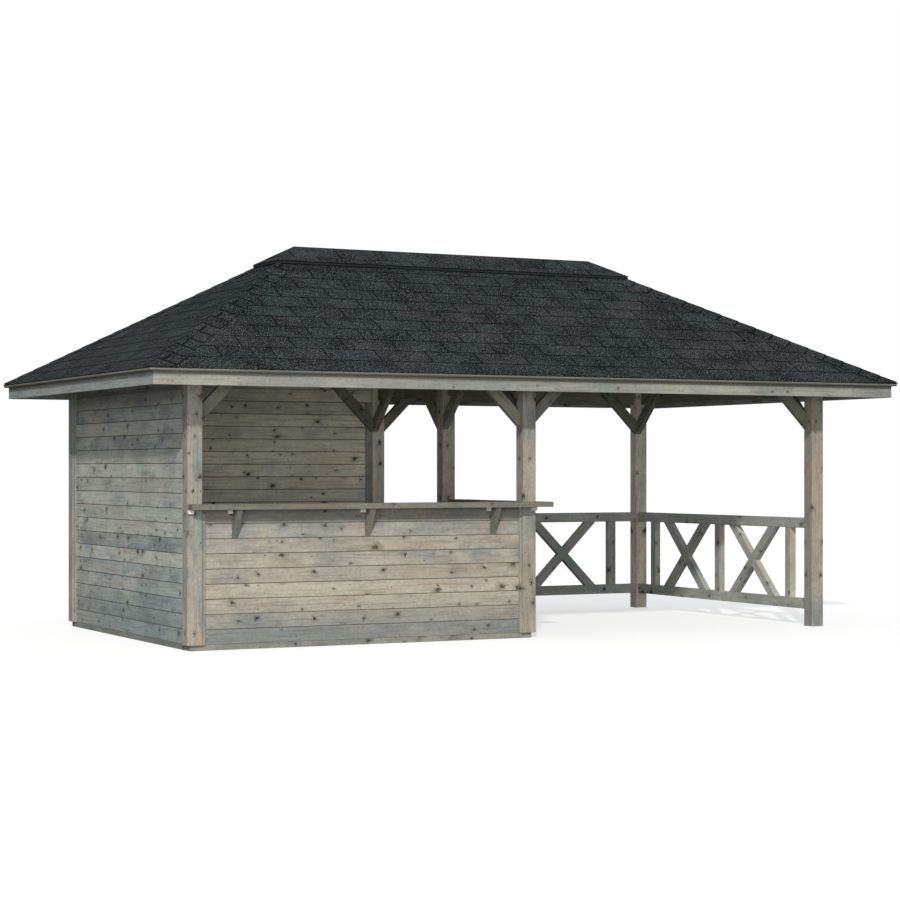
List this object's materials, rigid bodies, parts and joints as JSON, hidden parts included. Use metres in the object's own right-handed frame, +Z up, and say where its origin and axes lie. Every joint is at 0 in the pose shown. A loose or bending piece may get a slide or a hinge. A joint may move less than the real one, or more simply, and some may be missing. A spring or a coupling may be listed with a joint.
{
  "type": "garden gazebo",
  "caption": "Open timber garden gazebo with a boarded bar corner, cross-braced railings and a shingled hip roof with a raised ridge cap.",
  "frame": {"origin": "on the ground at the middle of the roof's plan", "axes": "+X along the length towards the railed bay, +Y towards the back, +Z up"},
  "size_m": [7.078, 4.078, 3.3816],
  "materials": {
    "post_timber": "weathered, matt",
    "wall_boards": "weathered, matt",
    "counter_wood": "weathered, matt",
    "cleat_wood": "weathered, matt",
    "rail_timber": "weathered, matt",
    "frame_timber": "weathered, matt",
    "fascia_boards": "weathered, matt",
    "roof_boards": "weathered, matt",
    "shingles": "mineral granules on bitumen"
  },
  "bodies": {
    "root": {"left_sill": "post_timber", "long_sills": "post_timber", "bar_side_sill": "post_timber", "front_left_post": "post_timber", "front_middle_post": "post_timber", "front_right_post": "post_timber", "back_left_post": "post_timber", "back_middle_post": "post_timber", "back_right_post": "post_timber", "bar_end_post": "post_timber", "left_wall": "wall_boards", "back_wall": "wall_boards", "front_half_wall": "wall_boards", "bar_side_half_wall": "wall_boards", "cover_strips": "wall_boards", "wall_battens": "wall_boards", "front_counter": "counter_wood", "side_counter": "counter_wood", "counter_brackets": "counter_wood", "counter_cleats": "cleat_wood", "back_railing": "rail_timber", "right_railing": "rail_timber", "front_header": "frame_timber", "back_header": "frame_timber", "left_header": "frame_timber", "right_header": "frame_timber", "cross_beam": "frame_timber", "front_braces": "frame_timber", "back_braces": "frame_timber", "side_braces": "frame_timber", "cross_braces": "frame_timber", "ridge_beam": "frame_timber", "hip_rafters": "frame_timber", "long_side_rafters": "frame_timber", "short_side_rafters": "frame_timber", "long_fascias": "fascia_boards", "end_fascias": "fascia_boards", "front_deck": "roof_boards", "back_deck": "roof_boards", "end_decks": "roof_boards", "cap_spacers": "roof_boards", "front_shingles": "shingles", "back_shingles": "shingles", "end_shingles": "shingles", "ridge_cap": "shingles"}
  },
  "joints": []
}
